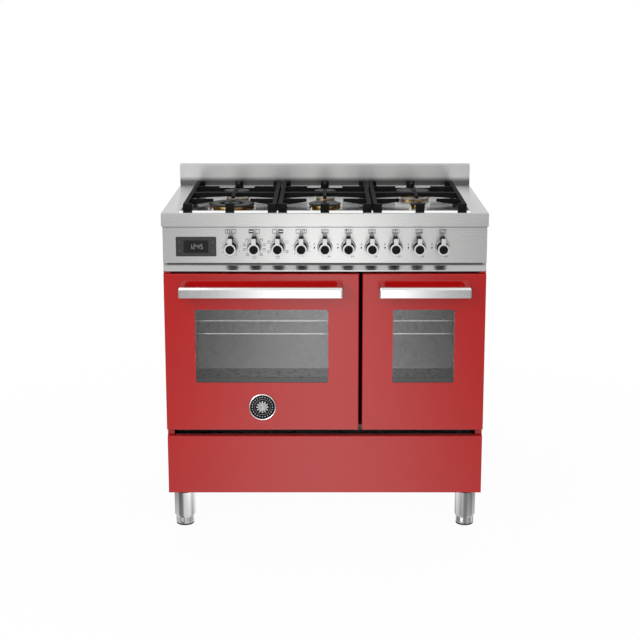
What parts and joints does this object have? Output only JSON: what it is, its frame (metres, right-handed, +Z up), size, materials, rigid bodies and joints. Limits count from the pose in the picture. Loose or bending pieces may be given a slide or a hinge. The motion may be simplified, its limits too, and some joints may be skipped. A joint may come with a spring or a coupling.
{
  "type": "freestanding range cooker",
  "caption": "Freestanding range cooker with a gas hob over twin drop-down ovens and a storage drawer, red enamel fronts, steel worktop and legs.",
  "frame": {"origin": "floor level under the middle of the range", "axes": "+Z up, +X to the right seen from the front, the front faces -Y"},
  "size_m": [0.9, 0.645, 0.98],
  "materials": {
    "stainless": "satin, brushed along the width",
    "polished_steel": "polished",
    "rack_chrome": "bright wire",
    "red_enamel": "gloss red enamel",
    "grey_coating": "satin grey coating",
    "galvanised": "zinc coated sheet",
    "oven_enamel": "speckled grey oven enamel",
    "seal": "matte woven cord",
    "element": "oxidised heating rod",
    "burner_aluminium": "die cast",
    "burner_brass": "machined brass",
    "cap_enamel": "satin enamel",
    "ceramic": "glazed ceramic",
    "grate_iron": "matte black enamelled casting",
    "hinge_steel": "zinc plated",
    "oven_glass": "tinted oven glass",
    "display_glass": "dark gloss",
    "control_plastic": "moulded",
    "knob_black": "satin black with a silver front plate",
    "stem_steel": "turned"
  },
  "bodies": {
    "carcass": {"worktop": "stainless", "backguard": "stainless", "control_panel": "stainless", "vent_rail": "polished_steel", "clock_display": "display_glass", "side_panels": "grey_coating", "back_panel": "galvanised", "base_frame": "galvanised", "front_frame": "oven_enamel", "main_oven_cavity": "oven_enamel", "small_oven_cavity": "oven_enamel", "oven_door_seals": "seal", "oven_racks": "rack_chrome", "shelf_guides": "rack_chrome", "grill_elements": "element", "fan_cover": "oven_enamel", "fan_motor": "galvanised", "burner_cups": "burner_aluminium", "burner_heads": "burner_brass", "burner_caps": "cap_enamel", "igniters": "ceramic", "pan_support_left": "grate_iron", "pan_support_centre": "grate_iron", "pan_support_right": "grate_iron", "leg_tubes": "stainless", "leg_feet": "stainless", "hinge_brackets": "hinge_steel", "gas_manifold": "burner_brass", "oven_controls": "control_plastic", "drawer_runners": "galvanised"},
    "main_door": {"main_door_skin": "red_enamel", "main_door_liner": "oven_enamel", "main_door_glass": "oven_glass", "main_door_handle": "polished_steel", "main_door_hinges": "hinge_steel", "main_door_medallion": "polished_steel"},
    "small_door": {"small_door_skin": "red_enamel", "small_door_liner": "oven_enamel", "small_door_glass": "oven_glass", "small_door_handle": "polished_steel", "small_door_hinges": "hinge_steel"},
    "drawer": {"drawer_front": "red_enamel", "drawer_box": "galvanised"},
    "fan": {"convection_fan": "burner_aluminium"},
    "knob_01_body": {"knob_01": "knob_black"},
    "knob_02_body": {"knob_02": "knob_black"},
    "knob_03_body": {"knob_03": "knob_black"},
    "knob_04_body": {"knob_04": "knob_black"},
    "knob_05_body": {"knob_05": "knob_black"},
    "stem_05_body": {"tap_stem_05": "stem_steel"},
    "knob_06_body": {"knob_06": "knob_black"},
    "stem_06_body": {"tap_stem_06": "stem_steel"},
    "knob_07_body": {"knob_07": "knob_black"},
    "stem_07_body": {"tap_stem_07": "stem_steel"},
    "knob_08_body": {"knob_08": "knob_black"},
    "stem_08_body": {"tap_stem_08": "stem_steel"},
    "knob_09_body": {"knob_09": "knob_black"},
    "stem_09_body": {"tap_stem_09": "stem_steel"},
    "knob_10_body": {"knob_10": "knob_black"},
    "stem_10_body": {"tap_stem_10": "stem_steel"}
  },
  "joints": [
    {"name": "door_main_swing", "type": "hinge", "parent": "carcass", "child": "main_door", "pos_m": [-0.1765, -0.2495, 0.315], "axis": [1, 0, 0], "range_deg": [0, 90]},
    {"name": "door_small_swing", "type": "hinge", "parent": "carcass", "child": "small_door", "pos_m": [0.27625, -0.2495, 0.315], "axis": [1, 0, 0], "range_deg": [0, 90]},
    {"name": "drawer_slide", "type": "slide", "parent": "carcass", "child": "drawer", "axis": [0, -1, 0], "range_m": [0, 0.33]},
    {"name": "fan_spin", "type": "hinge", "parent": "carcass", "child": "fan", "pos_m": [-0.1765, 0.192, 0.52], "axis": [0, 1, 0], "continuous": true},
    {"name": "knob_01_turn", "type": "hinge", "parent": "carcass", "child": "knob_01_body", "pos_m": [-0.26, -0.267, 0.818], "axis": [0, 1, 0], "range_deg": [0, 300]},
    {"name": "knob_02_turn", "type": "hinge", "parent": "carcass", "child": "knob_02_body", "pos_m": [-0.195, -0.267, 0.818], "axis": [0, 1, 0], "range_deg": [0, 300]},
    {"name": "knob_03_turn", "type": "hinge", "parent": "carcass", "child": "knob_03_body", "pos_m": [-0.13, -0.267, 0.818], "axis": [0, 1, 0], "range_deg": [0, 300]},
    {"name": "knob_04_turn", "type": "hinge", "parent": "carcass", "child": "knob_04_body", "pos_m": [-0.065, -0.267, 0.818], "axis": [0, 1, 0], "range_deg": [0, 300]},
    {"name": "knob_05_push", "type": "slide", "parent": "carcass", "child": "stem_05_body", "axis": [0, 1, 0], "range_m": [0, 0.004], "stiffness_N_per_m": 600, "springref_m": -0.003},
    {"name": "knob_05_turn", "type": "hinge", "parent": "stem_05_body", "child": "knob_05_body", "pos_m": [0, -0.267, 0.818], "axis": [0, -1, 0], "range_deg": [0, 220]},
    {"name": "knob_06_push", "type": "slide", "parent": "carcass", "child": "stem_06_body", "axis": [0, 1, 0], "range_m": [0, 0.004], "stiffness_N_per_m": 600, "springref_m": -0.003},
    {"name": "knob_06_turn", "type": "hinge", "parent": "stem_06_body", "child": "knob_06_body", "pos_m": [0.065, -0.267, 0.818], "axis": [0, -1, 0], "range_deg": [0, 220]},
    {"name": "knob_07_push", "type": "slide", "parent": "carcass", "child": "stem_07_body", "axis": [0, 1, 0], "range_m": [0, 0.004], "stiffness_N_per_m": 600, "springref_m": -0.003},
    {"name": "knob_07_turn", "type": "hinge", "parent": "stem_07_body", "child": "knob_07_body", "pos_m": [0.13, -0.267, 0.818], "axis": [0, -1, 0], "range_deg": [0, 220]},
    {"name": "knob_08_push", "type": "slide", "parent": "carcass", "child": "stem_08_body", "axis": [0, 1, 0], "range_m": [0, 0.004], "stiffness_N_per_m": 600, "springref_m": -0.003},
    {"name": "knob_08_turn", "type": "hinge", "parent": "stem_08_body", "child": "knob_08_body", "pos_m": [0.195, -0.267, 0.818], "axis": [0, -1, 0], "range_deg": [0, 220]},
    {"name": "knob_09_push", "type": "slide", "parent": "carcass", "child": "stem_09_body", "axis": [0, 1, 0], "range_m": [0, 0.004], "stiffness_N_per_m": 600, "springref_m": -0.003},
    {"name": "knob_09_turn", "type": "hinge", "parent": "stem_09_body", "child": "knob_09_body", "pos_m": [0.26, -0.267, 0.818], "axis": [0, -1, 0], "range_deg": [0, 220]},
    {"name": "knob_10_push", "type": "slide", "parent": "carcass", "child": "stem_10_body", "axis": [0, 1, 0], "range_m": [0, 0.004], "stiffness_N_per_m": 600, "springref_m": -0.003},
    {"name": "knob_10_turn", "type": "hinge", "parent": "stem_10_body", "child": "knob_10_body", "pos_m": [0.325, -0.267, 0.818], "axis": [0, -1, 0], "range_deg": [0, 220]}
  ]
}
